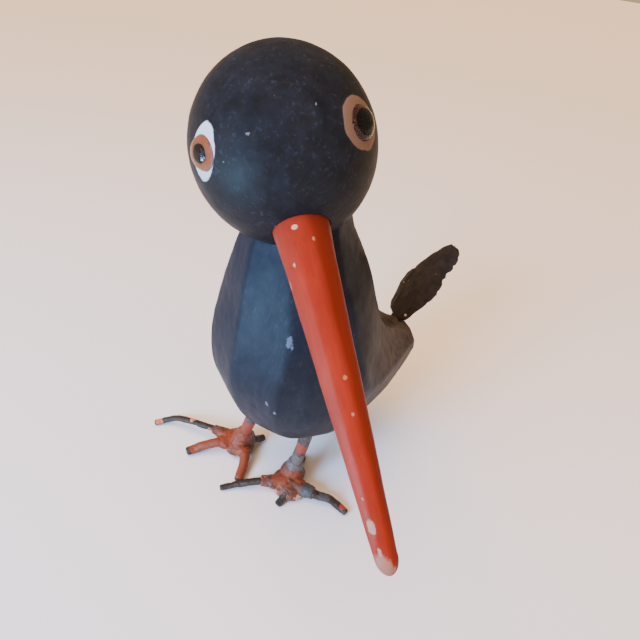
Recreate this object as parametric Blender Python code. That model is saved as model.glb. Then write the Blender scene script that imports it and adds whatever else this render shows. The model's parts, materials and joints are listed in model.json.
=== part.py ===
"""A small carved wooden bird: ball head that turns on a dowel, long bill, glass eyes, thin tail and wire feet.

Metres, +Z up. The bird's breast faces -Y and its left side is +X. It stands on z = 0, and the origin is on the
floor below the centre of its bounding box. Every piece is modelled in the bird's own frame, in millimetres from
a floor point between its feet, and is parented to the bird_stand empty. The head's pieces are modelled around the
ball's centre and are parented to the head_swivel empty, whose Z axis is the neck dowel's.
"""

import math

import bmesh
import bpy
from mathutils import Matrix, Vector

MM = 0.001
GAP = 0.3                   # clearance between pieces that touch
RUNNING_GAP = 0.1           # radial clearance of the ball on its dowel
STAND_X = -20.0             # the floor point between the feet, seen from the middle of the bounding box
STAND_Y = -18.2

# Head: a turned ball, a little taller than wide, on a dowel that leans forward.
BALL_RADIUS = 22.5
BALL_STRETCH = 1.03
BALL_CENTRE = (0.0, -4.4, 124.9)
NECK_LEAN = math.radians(17)
HEAD_TURN = math.radians(70)
DOWEL_RADIUS = 4.0
DOWEL_IN_HEAD = 11.0
DOWEL_IN_BODY = 13.0

# Bill: measured from the ball's centre along a line that droops below the plane square to the dowel.
BILL_DROOP = math.radians(30)
BILL_TIP = 96.0
BILL_ROOT = 19.5
BILL_ROOT_RADIUS = 6.9
BILL_TIP_RADIUS = 2.5
BILL_TIP_ROUND = 3.6        # length of the rounded end
BILL_ASIDE = -0.8           # set a little to the bird's right of the ball's middle
BILL_TENON_RADIUS = 3.2
BILL_TENON_END = 11.0

# Eyes: directions from the ball's centre, away from the bill's plane and up from its line.
EYE_ANGLES = {               # degrees from the bill: round to the eye's own side, then up
    "left": (66.5, 37.0),
    "right": (-73.0, 34.0),
}
EYE_RADIUS = 3.7
EYE_BULGE = 2.1
EYE_SOCKET_DEPTH = 2.2
EYE_BACK_RADIUS = 3.0       # the recess in the back of the glass
IRIS_RADIUS = 2.65
IRIS_THICKNESS = 0.6
PUPIL_RADIUS = 1.35
PUPIL_THICKNESS = 0.5
SHANK_RADIUS = 0.5
SHANK_LENGTH = 7.0

# Body: slices that fan out from a line behind the bird's back, from the neck round to the tail stub. Each ring is
# (angle of the slice in degrees, distance to the back, distance to the breast or belly, half-width).
BODY_PIVOT = Vector((0.5, 41.3, 107.5))
BODY_RINGS = (
    (162, 27.0, 53.0, 13.0),
    (179, 25.0, 53.0, 14.0),
    (200, 22.4, 63.0, 19.7),
    (220.5, 22.7, 81.5, 25.9),
    (241, 28.4, 91.4, 27.4),
    (262, 39.4, 81.5, 18.5),
    (283, 52.2, 67.2, 7.5),
)
BODY_STEPS = 24
BODY_FACETS = 20

# Tail: a thin blade, cocked up from a slot on top of the stub. Stations are (distance, left edge, right edge).
TAIL_BASE = Vector((-0.6, 50.8, 58.4))
TAIL_RISE = math.radians(56)
TAIL_THICKNESS = 1.8
TAIL_STATIONS = (
    (0.4, 3.9, -4.2),
    (4.0, 4.4, -6.0),
    (10.0, 6.2, -8.0),
    (15.0, 7.0, -8.1),
    (21.0, 5.6, -6.4),
    (26.0, 5.4, -4.6),
    (30.0, 5.2, -2.4),
    (32.0, 3.2, -0.6),
)
TANG_WIDTH = 5.0
TANG_DEPTH = 8.0

# Legs and feet: each toe is (points, root radius, tip radius, length under the solder). Points run from the root
# to the tip.
LEG_RADIUS = 2.3
FEET = {
    "right": {
        "leg": ((1.1, -6.1, 41.8), (-10.6, -6.0, 8.0)),
        "lump": ((-11.8, -7.4, 3.2), (6.6, 5.8, 4.3)),
        "collar": (-9.2, -5.8, 12.5),
        "toes": {
            "outer": (((-15.6, -11.2, 5.4), (-20.2, -14.8, 6.2), (-28.2, -21.4, 5.8), (-33.2, -25.4, 4.2),
                       (-36.3, -29.8, 1.75), (-37.1, -32.9, 0.95)), 1.35, 1.2, 5.4),
            "middle": (((-12.4, -11.6, 4.5), (-13.9, -15.6, 5.1), (-15.8, -20.2, 3.9), (-17.0, -23.8, 2.2),
                        (-17.6, -26.8, 1.45)), 1.8, 1.7, 3.2),
            "inner": (((-7.4, -8.2, 4.5), (-4.4, -8.4, 4.6), (-1.3, -10.2, 3.5), (1.4, -12.8, 2.05),
                       (3.1, -14.3, 1.65)), 1.85, 1.75, 3.0),
            "hind": (((-9.6, -3.2, 4.6), (-9.9, -1.6, 4.0), (-10.4, 0.6, 2.4), (-11.0, 3.6, 0.7)), 1.5, 1.3, 2.2),
        },
    },
    "left": {
        "leg": ((14.5, 7.9, 42.3), (11.6, 4.2, 8.0)),
        "lump": ((14.0, 1.0, 3.2), (6.8, 5.8, 4.3)),
        "collar": (12.0, 5.0, 12.5),
        "toes": {
            "inner": (((11.0, -4.2, 4.9), (9.6, -6.8, 4.8), (7.4, -11.2, 3.9), (4.8, -15.9, 2.05),
                       (2.9, -21.3, 1.03)), 1.5, 1.3, 4.2),
            "middle": (((16.2, 0.2, 4.9), (17.3, -1.4, 4.7), (18.2, -3.8, 2.3), (18.9, -6.0, 0.8)), 1.5, 1.45, 2.0),
            "outer": (((17.4, 3.6, 4.9), (19.6, 4.2, 5.3), (21.6, 5.4, 5.3), (24.4, 8.0, 4.9),
                       (26.9, 11.1, 4.0), (29.8, 13.4, 2.1), (33.3, 14.8, 1.2)), 1.75, 1.5, 6.0),
            "hind": (((12.6, 5.0, 4.7), (10.4, 7.4, 3.9), (7.2, 10.8, 1.95), (4.6, 13.4, 0.93)), 1.45, 1.25, 2.6),
        },
    },
}
LUMP_ARM_ROOT = 3.5         # radius of the solder where it runs out along a toe
LUMP_ARM_WALL = 0.9         # solder left around a toe at the lump's edge
LUMP_VOXEL = 1.0

WIRE_SIDES = 10
ROUND_SIDES = 24
BALL_SIDES = 40


def clear_scene():
    for obj in list(bpy.data.objects):
        bpy.data.objects.remove(obj, do_unlink=True)


def finish(name, color, roughness, metallic=0.0, transmission=0.0):
    material = bpy.data.materials.new(name)
    material.use_nodes = True
    shader = material.node_tree.nodes["Principled BSDF"]
    shader.inputs["Base Color"].default_value = (*color, 1.0)
    shader.inputs["Roughness"].default_value = roughness
    shader.inputs["Metallic"].default_value = metallic
    shader.inputs["Transmission Weight"].default_value = transmission
    return material


def empty(name, location, rotation, parent=None):
    obj = bpy.data.objects.new(name, None)
    bpy.context.collection.objects.link(obj)
    obj.matrix_world = Matrix.Translation(Vector(location) * MM) @ rotation
    if parent:
        obj.parent = parent
    return obj


def add_object(name, bm, material, parent, smooth=True):
    """A named object from a bmesh in millimetres, with clean outward normals."""
    bmesh.ops.scale(bm, vec=Vector((MM, MM, MM)), verts=bm.verts)
    bmesh.ops.recalc_face_normals(bm, faces=bm.faces)
    mesh = bpy.data.meshes.new(name)
    bm.to_mesh(mesh)
    bm.free()
    obj = bpy.data.objects.new(name, mesh)
    bpy.context.collection.objects.link(obj)
    obj.parent = parent
    if material:
        mesh.materials.append(material)
    if smooth:
        mesh.shade_smooth()
        mesh.set_sharp_from_angle(angle=math.radians(35))
    return obj


def cutter(name, bm, parent):
    obj = add_object(name, bm, None, parent, smooth=False)
    obj.hide_render = True
    obj.display_type = "WIRE"
    return obj


def cut(target, *tools):
    for tool in tools:
        modifier = target.modifiers.new("cut_" + tool.name, "BOOLEAN")
        modifier.operation = "DIFFERENCE"
        modifier.solver = "EXACT"
        modifier.object = tool


def smooth_between(stations, t):
    """The values at t on a smooth curve through stations, which are tuples of (t, value, ...)."""
    k = 0
    while k < len(stations) - 2 and t > stations[k + 1][0]:
        k += 1
    before = stations[max(k - 1, 0)]
    a = stations[k]
    b = stations[k + 1]
    after = stations[min(k + 2, len(stations) - 1)]
    step = b[0] - a[0]
    u = (t - a[0]) / step
    values = []
    for i in range(1, len(a)):
        slope_a = (b[i] - before[i]) / (b[0] - before[0]) * step
        slope_b = (after[i] - a[i]) / (after[0] - a[0]) * step
        blend = a[i] * (2 * u**3 - 3 * u**2 + 1) + slope_a * (u**3 - 2 * u**2 + u)
        blend += b[i] * (3 * u**2 - 2 * u**3) + slope_b * (u**3 - u**2)
        values.append(blend)
    return values


def path_through(points, steps):
    """Points of a smooth curve through the given ones, with steps spans between each pair."""
    ends = [Vector(p) for p in points]
    ends = [ends[0] * 2 - ends[1], *ends, ends[-1] * 2 - ends[-2]]
    path = []
    for p0, p1, p2, p3 in zip(ends, ends[1:], ends[2:], ends[3:]):
        for k in range(steps):
            u = k / steps
            path.append(0.5 * (2 * p1 + (p2 - p0) * u + (2 * p0 - 5 * p1 + 4 * p2 - p3) * u**2
                               + (3 * p1 - p0 - 3 * p2 + p3) * u**3))
    path.append(ends[-2])
    return path


def point_along(points, distance):
    for start, end in zip(points, points[1:]):
        span = Vector(end) - Vector(start)
        if distance <= span.length:
            break
        distance -= span.length
    return Vector(start) + span.normalized() * distance


def loft(bm, rings):
    """Bridges rings of equal length, and closes both ends."""
    loops = [[bm.verts.new(p) for p in ring] for ring in rings]
    for a, b in zip(loops, loops[1:]):
        for i in range(len(a)):
            j = (i + 1) % len(a)
            bm.faces.new((a[i], a[j], b[j], b[i]))
    bm.faces.new(list(reversed(loops[0])))
    bm.faces.new(loops[-1])


def wire(points, root_radius, tip_radius, grow=0.0, steps=3):
    """A tapered wire along a smooth curve, with a rounded tip. grow widens it for a socket."""
    path = path_through(points, steps)
    last = len(path) - 1
    side = Vector((0, 0, 1))
    rings = []
    for k, centre in enumerate(path):
        along = (path[min(k + 1, last)] - path[max(k - 1, 0)]).normalized()
        side = (side - along * side.dot(along)).normalized()
        other = along.cross(side)
        radius = root_radius + (tip_radius - root_radius) * k / last + grow
        if k == last:
            centre = centre + along * grow
            radius *= 0.6
        if k == 0:
            centre = centre - along * grow
        turns = [math.tau * i / WIRE_SIDES for i in range(WIRE_SIDES)]
        rings.append([centre + (side * math.cos(a) + other * math.sin(a)) * radius for a in turns])
    bm = bmesh.new()
    loft(bm, rings)
    return bm


def turned(profile, sides=ROUND_SIDES):
    """A solid turned about Z. The profile is (radius, height) pairs, bottom to top."""
    bm = bmesh.new()
    rings = []
    for radius, height in profile:
        rings.append([Vector((radius * math.cos(math.tau * i / sides), radius * math.sin(math.tau * i / sides),
                              height)) for i in range(sides)])
    loft(bm, rings)
    return bm


def pointing(bm, direction, at=Vector()):
    """Turns a solid made about Z to point along direction, and moves it."""
    turn = Vector((0, 0, 1)).rotation_difference(Vector(direction).normalized()).to_matrix().to_4x4()
    bmesh.ops.transform(bm, matrix=Matrix.Translation(at) @ turn, verts=bm.verts)
    return bm


def rod(start, end, radius, sides=ROUND_SIDES):
    start = Vector(start)
    span = Vector(end) - start
    return pointing(turned(((radius, 0.0), (radius, span.length)), sides), span, start)


def ball(grow=0.0):
    bm = bmesh.new()
    bmesh.ops.create_uvsphere(bm, u_segments=BALL_SIDES, v_segments=BALL_SIDES // 2, radius=BALL_RADIUS + grow)
    bmesh.ops.scale(bm, vec=Vector((1, 1, BALL_STRETCH)), verts=bm.verts)
    return bm


def bill_direction():
    return Vector((0, -math.cos(BILL_DROOP), -math.sin(BILL_DROOP)))


def eye_direction(name):
    spread, rise = (math.radians(a) for a in EYE_ANGLES[name])
    up = Vector((0, -math.sin(BILL_DROOP), math.cos(BILL_DROOP)))
    level = bill_direction() * math.cos(spread) + Vector((math.sin(spread), 0, 0))
    return level * math.cos(rise) + up * math.sin(rise)


def build_head(swivel, materials):
    head = add_object("head_ball", ball(), materials["body_paint"], swivel)
    bore = rod((0, 0, -2 * BALL_RADIUS), (0, 0, GAP - DOWEL_IN_HEAD), DOWEL_RADIUS + RUNNING_GAP)
    socket = turned((
        (BILL_TENON_RADIUS + GAP, BILL_TENON_END - GAP),
        (BILL_TENON_RADIUS + GAP, BILL_ROOT - GAP),
        (BILL_ROOT_RADIUS + GAP, BILL_ROOT - GAP),
        (BILL_ROOT_RADIUS + GAP, 2 * BALL_RADIUS),
    ))
    cut(head, cutter("cut_neck_bore", bore, swivel))
    aside = Vector((BILL_ASIDE, 0, 0))
    cut(head, cutter("cut_bill_socket", pointing(socket, bill_direction(), aside), swivel))
    floor = BALL_RADIUS - EYE_SOCKET_DEPTH
    for name in EYE_ANGLES:
        eye_socket = turned((
            (SHANK_RADIUS + GAP, floor - SHANK_LENGTH - 2 * GAP),
            (SHANK_RADIUS + GAP, floor - GAP),
            (EYE_RADIUS + GAP, floor - GAP),
            (EYE_RADIUS + GAP, BALL_RADIUS + EYE_BULGE + GAP),
        ))
        cut(head, cutter("cut_eye_socket_" + name, pointing(eye_socket, eye_direction(name)), swivel))


def build_bill(swivel, materials):
    """A long straight taper with a round tip, and a tenon that goes into the ball."""
    straight_end = BILL_TIP - BILL_TIP_ROUND
    profile = [(BILL_TENON_RADIUS, BILL_TENON_END), (BILL_TENON_RADIUS, BILL_ROOT), (BILL_ROOT_RADIUS, BILL_ROOT)]
    steps = 8
    for k in range(1, steps + 1):
        share = k / steps
        profile.append((BILL_ROOT_RADIUS + (BILL_TIP_RADIUS - BILL_ROOT_RADIUS) * share,
                        BILL_ROOT + (straight_end - BILL_ROOT) * share))
    for degrees in (25, 50, 72):
        angle = math.radians(degrees)
        profile.append((BILL_TIP_RADIUS * math.cos(angle), straight_end + BILL_TIP_ROUND * math.sin(angle)))
    profile.append((0.3, BILL_TIP))
    bm = pointing(turned(profile), bill_direction(), Vector((BILL_ASIDE, 0, 0)))
    add_object("bill", bm, materials["bill_paint"], swivel)


def build_eye(name, swivel, materials):
    """A clear dome over a disc and a black centre, on a wire shank pushed into the ball."""
    direction = eye_direction(name)
    floor = BALL_RADIUS - EYE_SOCKET_DEPTH
    iris_top = floor + IRIS_THICKNESS
    pupil_top = iris_top + GAP + PUPIL_THICKNESS
    recess_top = pupil_top + GAP
    rim = BALL_RADIUS - 0.3
    dome = []
    for degrees in (0, 15, 30, 45, 60, 75):
        angle = math.radians(degrees)
        dome.append((EYE_RADIUS * math.cos(angle), rim + (EYE_BULGE + 0.3) * math.sin(angle)))
    glass = turned([
        (EYE_BACK_RADIUS, recess_top), (EYE_BACK_RADIUS, floor), (EYE_RADIUS, floor), *dome,
        (0.4, rim + EYE_BULGE + 0.3),
    ])
    add_object(name + "_eye_glass", pointing(glass, direction), materials["eye_glass"], swivel)
    iris = turned(((IRIS_RADIUS, floor), (IRIS_RADIUS, iris_top)))
    add_object(name + "_eye_iris", pointing(iris, direction), materials[name + "_iris"], swivel)
    pupil = turned(((PUPIL_RADIUS, iris_top + GAP), (PUPIL_RADIUS, pupil_top)))
    add_object(name + "_eye_pupil", pointing(pupil, direction), materials["pupil"], swivel)
    shank = turned(((SHANK_RADIUS, floor - GAP - SHANK_LENGTH), (SHANK_RADIUS, floor - GAP)), WIRE_SIDES)
    add_object(name + "_eye_shank", pointing(shank, direction), materials["wire"], swivel)


def body_ring(degrees):
    to_back, to_belly, half_width = smooth_between(BODY_RINGS, degrees)
    angle = math.radians(degrees)
    out = Vector((0, math.cos(angle), math.sin(angle)))
    centre = BODY_PIVOT + out * (to_back + to_belly) / 2
    reach = out * (to_belly - to_back) / 2
    ring = []
    for i in range(BODY_FACETS):
        turn = math.tau * (i + 0.5) / BODY_FACETS
        ring.append(centre + Vector((half_width * math.sin(turn), 0, 0)) + reach * math.cos(turn))
    return ring


def build_body(stand, neck, materials):
    first = BODY_RINGS[0][0]
    span = BODY_RINGS[-1][0] - first
    bm = bmesh.new()
    loft(bm, [body_ring(first + span * k / BODY_STEPS) for k in range(BODY_STEPS + 1)])
    body = add_object("body", bm, materials["body_paint"], stand)
    cut(body, cutter("cut_ball_seat", ball(GAP), neck))
    seat = -BALL_RADIUS * BALL_STRETCH
    bore = rod((0, 0, seat - DOWEL_IN_BODY - GAP), (0, 0, 0), DOWEL_RADIUS + GAP)
    cut(body, cutter("cut_dowel_hole", bore, neck))
    dowel = rod((0, 0, seat - DOWEL_IN_BODY), (0, 0, -DOWEL_IN_HEAD), DOWEL_RADIUS)
    add_object("neck_dowel", dowel, materials["bare_wood"], neck)
    for name, foot in FEET.items():
        top, bottom = (Vector(p) for p in foot["leg"])
        past = (top - bottom).normalized() * GAP
        cut(body, cutter("cut_leg_hole_" + name, rod(top + past, bottom, LEG_RADIUS + GAP), stand))
    slot = tail_box(TANG_WIDTH + 2 * GAP, TAIL_THICKNESS + 2 * GAP, TANG_DEPTH + GAP)
    cut(body, cutter("cut_tail_slot", slot, stand))


def tail_matrix():
    """X across the blade, Y along it, Z out of its upper face."""
    along = Vector((0, math.cos(TAIL_RISE), math.sin(TAIL_RISE)))
    across = Vector((1, 0, 0))
    face = across.cross(along)
    turn = Matrix((across, along, face)).transposed().to_4x4()
    return Matrix.Translation(TAIL_BASE) @ turn


def tail_box(width, thickness, depth):
    bm = bmesh.new()
    bmesh.ops.create_cube(bm, size=1.0)
    bmesh.ops.scale(bm, vec=Vector((width, 2 * depth, thickness)), verts=bm.verts)
    bmesh.ops.transform(bm, matrix=tail_matrix(), verts=bm.verts)
    return bm


def build_tail(stand, materials):
    left = [(x, s) for s, x, _ in TAIL_STATIONS]
    right = [(x, s) for s, _, x in reversed(TAIL_STATIONS)]
    tang = [(-TANG_WIDTH / 2, 0.6), (-TANG_WIDTH / 2, -TANG_DEPTH), (TANG_WIDTH / 2, -TANG_DEPTH),
            (TANG_WIDTH / 2, 0.6)]
    outline = left + right + tang
    bm = bmesh.new()
    half = TAIL_THICKNESS / 2
    loft(bm, [[Vector((x, s, z)) for x, s in outline] for z in (-half, half)])
    bmesh.ops.transform(bm, matrix=tail_matrix(), verts=bm.verts)
    add_object("tail_feather", bm, materials["tail"], stand, smooth=False)


def lump_solid(foot):
    """Overlapping shapes that a voxel remesh runs together like solder."""
    centre = Vector(foot["lump"][0])
    bm = bmesh.new()
    middle = bmesh.new()
    bmesh.ops.create_icosphere(middle, subdivisions=3, radius=1.0)
    bmesh.ops.scale(middle, vec=Vector(foot["lump"][1]), verts=middle.verts)
    bmesh.ops.translate(middle, vec=centre, verts=middle.verts)
    pieces = [middle]
    core = centre + Vector((0, 0, 0.9))
    for points, root_radius, _, covered in foot["toes"].values():
        end = point_along(points, covered)
        span = end - core
        arm = turned(((LUMP_ARM_ROOT, 0), (root_radius + LUMP_ARM_WALL, span.length)), WIRE_SIDES)
        pieces.append(pointing(arm, span, core))
    foot_of_leg = Vector(foot["leg"][1]) - Vector((0, 0, 3))
    span = Vector(foot["collar"]) - foot_of_leg
    collar = turned(((LEG_RADIUS + 2.2, 0), (LEG_RADIUS + LUMP_ARM_WALL, span.length)), WIRE_SIDES)
    pieces.append(pointing(collar, span, foot_of_leg))
    for piece in pieces:
        mesh = bpy.data.meshes.new("lump_piece")
        piece.to_mesh(mesh)
        piece.free()
        bm.from_mesh(mesh)
        bpy.data.meshes.remove(mesh)
    return bm


def build_foot(name, foot, stand, materials):
    leg = rod(foot["leg"][0], foot["leg"][1], LEG_RADIUS)
    add_object(name + "_leg", leg, materials["leg_metal"], stand)
    lump = add_object(name + "_foot_joint", lump_solid(foot), materials["solder"], stand)
    remesh = lump.modifiers.new("run_together", "REMESH")
    remesh.mode = "VOXEL"
    remesh.voxel_size = LUMP_VOXEL * MM
    remesh.use_smooth_shade = True
    soften = lump.modifiers.new("soften", "SMOOTH")
    soften.factor = 0.5
    soften.iterations = 2
    top, bottom = (Vector(p) for p in foot["leg"])
    past = (bottom - top).normalized() * GAP
    cut(lump, cutter("cut_leg_socket_" + name, rod(top, bottom + past, LEG_RADIUS + GAP), stand))
    for toe, (points, root_radius, tip_radius, _) in foot["toes"].items():
        add_object(f"{name}_{toe}_toe", wire(points, root_radius, tip_radius), materials["toe_metal"], stand)
        socket = wire(points, root_radius, tip_radius, grow=GAP)
        cut(lump, cutter(f"cut_toe_socket_{name}_{toe}", socket, stand))
    ground = bmesh.new()
    bmesh.ops.create_cube(ground, size=1.0)
    bmesh.ops.scale(ground, vec=Vector((60, 60, 20)), verts=ground.verts)
    bmesh.ops.translate(ground, vec=Vector((*foot["lump"][0][:2], -10)), verts=ground.verts)
    cut(lump, cutter("cut_sole_" + name, ground, stand))


def main():
    clear_scene()
    materials = {
        "body_paint": finish("dark_blue_black_paint", (0.012, 0.016, 0.024), 0.45),
        "bill_paint": finish("orange_red_paint", (0.45, 0.075, 0.035), 0.5),
        "bare_wood": finish("bare_wood", (0.52, 0.36, 0.2), 0.7),
        "eye_glass": finish("clear_glass", (0.95, 0.95, 0.95), 0.02, transmission=1.0),
        "left_iris": finish("garnet_iris", (0.12, 0.01, 0.008), 0.3),
        "right_iris": finish("amber_iris", (0.4, 0.14, 0.02), 0.3),
        "pupil": finish("black_pupil", (0.002, 0.002, 0.002), 0.2),
        "wire": finish("steel_wire", (0.4, 0.4, 0.4), 0.4, metallic=1.0),
        "tail": finish("black_tail", (0.014, 0.013, 0.012), 0.85),
        "leg_metal": finish("worn_painted_iron", (0.16, 0.1, 0.08), 0.55, metallic=0.5),
        "toe_metal": finish("dark_toe_iron", (0.06, 0.035, 0.025), 0.6, metallic=0.4),
        "solder": finish("painted_solder", (0.3, 0.07, 0.02), 0.6, metallic=0.1),
    }
    stand = empty("bird_stand", (STAND_X, STAND_Y, 0), Matrix())
    neck = empty("neck_line", BALL_CENTRE, Matrix.Rotation(NECK_LEAN, 4, "X"), stand)
    swivel = empty("head_swivel", (0, 0, 0), Matrix.Rotation(HEAD_TURN, 4, "Z"), neck)
    build_head(swivel, materials)
    build_bill(swivel, materials)
    for name in EYE_ANGLES:
        build_eye(name, swivel, materials)
    build_body(stand, neck, materials)
    build_tail(stand, materials)
    for name, foot in FEET.items():
        build_foot(name, foot, stand, materials)


main()
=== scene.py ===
"""Looks for a small carved wooden bird: painted ball head, chipped bill, glass eyes, ragged tail, wire feet.

Pieces are worked out in millimetres. Those on the body use the bird's own frame, from a floor point between
its feet, with the breast towards -Y and the bird's left side at +X. Those on the head use the ball's centre,
with Z along the neck and -Y the way the bill points. Meshes are stored in the row frame, in metres.
"""

import json
import math
import random

import bmesh
import bpy
import numpy as np
from mathutils import Matrix, Vector, noise


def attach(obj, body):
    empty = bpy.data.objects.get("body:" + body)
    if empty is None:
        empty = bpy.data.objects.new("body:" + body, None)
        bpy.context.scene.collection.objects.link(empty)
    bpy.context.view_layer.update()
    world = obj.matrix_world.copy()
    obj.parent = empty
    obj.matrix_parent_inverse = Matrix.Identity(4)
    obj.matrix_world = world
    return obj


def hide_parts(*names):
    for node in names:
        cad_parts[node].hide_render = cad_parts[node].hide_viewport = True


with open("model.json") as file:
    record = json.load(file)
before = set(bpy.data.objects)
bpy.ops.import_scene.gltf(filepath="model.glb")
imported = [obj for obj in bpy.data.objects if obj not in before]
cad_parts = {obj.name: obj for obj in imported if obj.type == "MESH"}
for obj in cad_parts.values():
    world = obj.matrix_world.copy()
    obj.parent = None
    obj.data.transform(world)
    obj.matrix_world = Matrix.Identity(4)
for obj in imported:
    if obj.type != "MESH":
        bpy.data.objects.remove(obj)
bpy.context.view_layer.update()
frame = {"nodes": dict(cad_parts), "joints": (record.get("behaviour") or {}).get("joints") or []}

MM = 0.001
FLOOR_REACH = 30000     # from the middle of the floor to each edge
LOWEST = 0.02           # no foot piece comes closer to the floor than this
UP = Vector((0, 0, 1))
JOINT = frame["joints"][0]
BALL = Vector(JOINT["pos_m"])
NECK_LEAN = math.radians(17)
HEAD_TURN = math.radians(70)

BALL_CENTRE = Vector((0.0, -4.4, 124.9))
BALL_RADIUS = 22.5
BALL_STRETCH = 1.03
DOWEL_HOLE = 4.15

BILL_DROOP = math.radians(30)
BILL_ROOT = 19.6
BILL_TIP = 96.0
BILL_TIP_ROUND = 3.6
BILL_ASIDE = Vector((-0.8, 0.0, 0.0))
BILL_ROOT_RADIUS = 6.85
BILL_TIP_RADIUS = 2.5

EYE_ANGLES = {"left": (66.5, 37.0), "right": (-73.0, 34.0)}
EYE_RADIUS = 3.7
PUPIL_SIZE = {"left": 2.6, "right": 1.85}
EYE_BULGE = 2.1
EYE_FLOOR = BALL_RADIUS - 2.2

BODY_PIVOT = np.array((0.5, 41.3, 107.5))
BODY_RINGS = np.array((
    (162, 27.0, 53.0, 13.0),
    (179, 25.0, 53.0, 14.0),
    (200, 22.4, 63.0, 19.7),
    (220.5, 22.7, 81.5, 25.9),
    (241, 28.4, 91.4, 27.4),
    (262, 39.4, 81.5, 18.5),
    (283, 52.2, 67.2, 7.5),
))

# Edges that the knife left along the body: where each one runs round it at each of these slices, in degrees
# from the breast towards the bird's left.
EDGE_SLICES = (162, 200, 210, 220, 232, 250, 283)
EDGES = (
    (-14, -28, -24, -18, -22, -30, -28),
    (4, 16, 19, 15, 10, 4, 5),
    (50, 59, 62, 52, 39, 31, 40),
    (64, 69, 75, 74, 62, 58, 72),
    (98, 106, 110, 110, 107, 100, 108),
    (148, 158, 154, 150, 150, 151, 146),
    (186, 194, 190, 188, 192, 190, 184),
    (222, 230, 234, 228, 224, 226, 220),
    (264, 262, 268, 270, 262, 258, 256),
    (304, 300, 296, 302, 304, 300, 296),
)
EDGE_FLATNESS = (0.8, 0.8, 0.9, 0.8, 0.8, 0.7, 0.8, 0.7, 0.8, 0.7)
GROOVE = 3                  # the edge that is a groove on the lower breast
GROOVE_DEPTH = 1.7
RIDGE = 2                   # the edge beside it stands proud
RIDGE_HEIGHT = 0.5

TAIL_BASE = Vector((-0.6, 50.8, 58.4))
TAIL_RISE = math.radians(56)
TAIL_STATIONS = np.array((
    (-7.5, 2.4, -2.4),
    (-0.6, 2.5, -2.5),
    (0.4, 4.1, -5.0),
    (4.0, 4.4, -6.0),
    (10.0, 6.2, -8.0),
    (15.0, 7.0, -8.1),
    (21.0, 5.6, -6.4),
    (26.0, 5.4, -4.6),
    (30.0, 5.2, -2.4),
    (32.0, 3.2, -0.6),
))

LEG_RADIUS = 2.3
FEET = {
    "right": {
        "leg": ((1.1, -6.1, 41.8), (-10.6, -6.0, 8.0)),
        "lump": ((-11.8, -7.4, 3.2), (6.8, 5.9, 4.2)),
        "toes": {
            "outer": (((-15.6, -11.2, 5.4), (-20.2, -14.8, 6.2), (-28.2, -21.4, 5.8), (-33.2, -25.4, 4.2),
                       (-36.3, -29.8, 1.85), (-37.2, -33.3, 1.1)), 1.4, 1.2, 5.4),
            "middle": (((-12.4, -11.6, 4.5), (-13.9, -15.6, 5.1), (-15.8, -20.2, 3.9), (-17.0, -23.8, 2.35),
                        (-17.6, -27.0, 1.75)), 1.95, 1.75, 3.4),
            "inner": (((-7.4, -8.2, 4.5), (-4.4, -8.4, 4.6), (-1.3, -10.2, 3.5), (1.4, -12.8, 2.2),
                       (3.3, -14.5, 1.8)), 1.95, 1.8, 3.0),
            "hind": (((-9.6, -3.2, 4.6), (-9.9, -1.6, 4.0), (-10.4, 0.6, 2.5), (-11.0, 3.6, 1.2)),
                     1.55, 1.35, 2.2),
        },
    },
    "left": {
        "leg": ((14.5, 7.9, 42.3), (11.6, 4.2, 8.0)),
        "lump": ((14.0, 1.0, 3.2), (7.0, 5.9, 4.2)),
        "toes": {
            "inner": (((11.0, -4.2, 4.9), (9.6, -6.8, 4.8), (7.4, -11.2, 3.9), (4.8, -15.9, 2.15),
                       (2.8, -21.6, 1.1)), 1.6, 1.15, 4.2),
            "middle": (((16.2, 0.2, 4.9), (17.3, -1.4, 4.7), (18.2, -3.8, 2.5), (18.9, -6.2, 1.4)),
                       1.55, 1.45, 2.0),
            "outer": (((17.4, 3.6, 4.9), (19.6, 4.2, 5.3), (21.6, 5.4, 5.3), (24.4, 8.0, 4.9),
                       (26.9, 11.1, 4.0), (29.8, 13.4, 2.2), (33.5, 14.9, 1.4)), 1.85, 1.4, 6.0),
            "hind": (((12.6, 5.0, 4.7), (10.4, 7.4, 3.9), (7.2, 10.8, 2.05), (4.6, 13.4, 1.1)),
                     1.5, 1.25, 2.6),
        },
    },
}

# Colours, linear.
CREAM = (0.5, 0.36, 0.24)
PALE = (0.4, 0.33, 0.28)
# Peach paint on the feet, partly real flakes and partly painted highlight along the lit front and lower
# edges.
PEACH_FLAKE_AND_HIGHLIGHT = (0.8, 0.3, 0.13)
ORANGE = (0.24, 0.048, 0.015)
RED_ORANGE = (0.33, 0.04, 0.016)
DARK_METAL = (0.021, 0.018, 0.012)
GREY_METAL = (0.12, 0.115, 0.105)
GREEN_METAL = (0.05, 0.062, 0.06)
SCUFF = (0.09, 0.115, 0.16)
RING_WHITE = (0.5, 0.56, 0.6)
# The same white ring paint, darkened and warmed into painted shade, for the eye on the side away from the
# light.
RING_WHITE_IN_PAINTED_SHADE = (0.17, 0.1, 0.062)

BODY_FRAME = Matrix.Translation(BALL) @ Matrix.Scale(MM, 4) @ Matrix.Translation(-BALL_CENTRE)
HEAD_FRAME = (Matrix.Translation(BALL) @ Matrix.Scale(MM, 4) @ Matrix.Rotation(NECK_LEAN, 4, "X")
              @ Matrix.Rotation(HEAD_TURN, 4, "Z"))


# ---------------------------------------------------------------- shapes

def wobble(points, size, seed=0, octaves=3):
    """Smooth noise, about -1 to 1, at each point, with features about size across."""
    shift = Vector((seed * 17.31, seed * 5.17, seed * 9.73))
    return np.array([noise.fractal(Vector(p) / size + shift, 1.0, 2.0, octaves) for p in points])


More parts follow.
